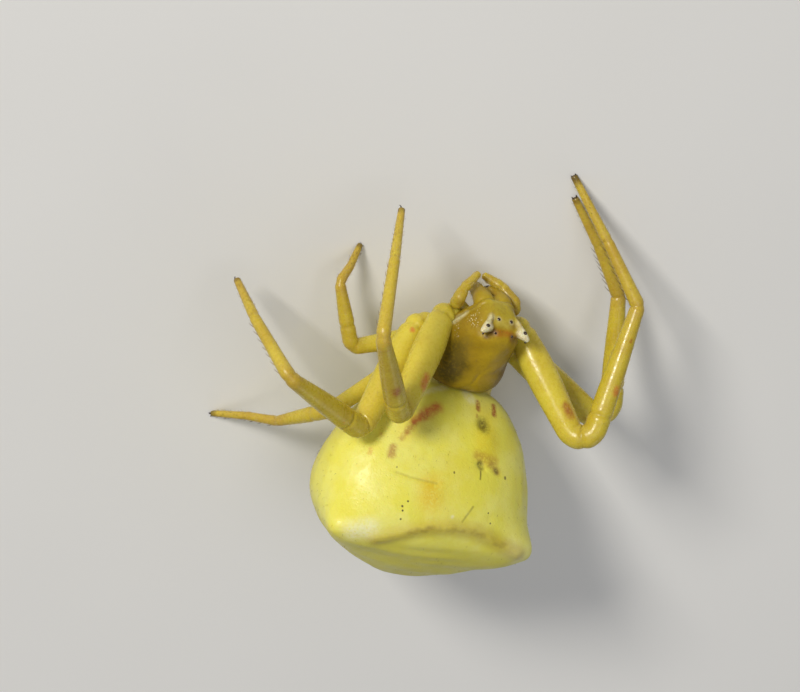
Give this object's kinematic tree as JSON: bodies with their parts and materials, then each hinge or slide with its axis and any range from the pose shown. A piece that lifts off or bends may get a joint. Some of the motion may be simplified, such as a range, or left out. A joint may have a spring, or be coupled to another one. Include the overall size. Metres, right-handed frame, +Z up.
{
  "type": "crab spider",
  "caption": "Life-size yellow female crab spider with a broad two-cornered abdomen, standing still with its left front legs raised.",
  "frame": {"origin": "on the floor under the middle of the outline's bounding box", "axes": "-Y the way the spider faces, +X to the spider's left, +Z up from the floor"},
  "size_m": [0.0137, 0.0142, 0.0064],
  "materials": {
    "abdomen_lemon": "smooth opaque lemon-yellow skin with a soft sheen",
    "carapace_amber": "firm amber-yellow shell with olive sides, semi-gloss",
    "leg_honey": "slightly clear honey-yellow shell, glossy",
    "mound_white": "chalky white, matt",
    "eye_black": "glossy black"
  },
  "bodies": {
    "root": {"abdomen": "abdomen_lemon", "carapace": "carapace_amber", "eye_front_middle_left": "eye_black", "eye_front_middle_right": "eye_black", "eye_front_side_left": "eye_black", "eye_front_side_right": "eye_black", "eye_mound_left": "mound_white", "eye_mound_right": "mound_white", "eye_rear_middle_left": "eye_black", "eye_rear_middle_right": "eye_black", "eye_rear_side_left": "eye_black", "eye_rear_side_right": "eye_black", "jaw_left": "carapace_amber", "jaw_right": "carapace_amber", "leg_left_1_coxa": "leg_honey", "leg_left_1_foot": "leg_honey", "leg_left_1_shin": "leg_honey", "leg_left_1_thigh": "leg_honey", "leg_left_2_coxa": "leg_honey", "leg_left_2_foot": "leg_honey", "leg_left_2_shin": "leg_honey", "leg_left_2_thigh": "leg_honey", "leg_left_3_coxa": "leg_honey", "leg_left_3_foot": "leg_honey", "leg_left_3_shin": "leg_honey", "leg_left_3_thigh": "leg_honey", "leg_left_4_coxa": "leg_honey", "leg_left_4_foot": "leg_honey", "leg_left_4_shin": "leg_honey", "leg_left_4_thigh": "leg_honey", "leg_right_1_coxa": "leg_honey", "leg_right_1_foot": "leg_honey", "leg_right_1_shin": "leg_honey", "leg_right_1_thigh": "leg_honey", "leg_right_2_coxa": "leg_honey", "leg_right_2_foot": "leg_honey", "leg_right_2_shin": "leg_honey", "leg_right_2_thigh": "leg_honey", "leg_right_3_coxa": "leg_honey", "leg_right_3_foot": "leg_honey", "leg_right_3_shin": "leg_honey", "leg_right_3_thigh": "leg_honey", "leg_right_4_coxa": "leg_honey", "leg_right_4_foot": "leg_honey", "leg_right_4_shin": "leg_honey", "leg_right_4_thigh": "leg_honey", "palp_left_shin": "leg_honey", "palp_left_thigh": "leg_honey", "palp_right_shin": "leg_honey", "palp_right_thigh": "leg_honey", "spinnerets": "abdomen_lemon", "waist": "carapace_amber"}
  },
  "joints": []
}
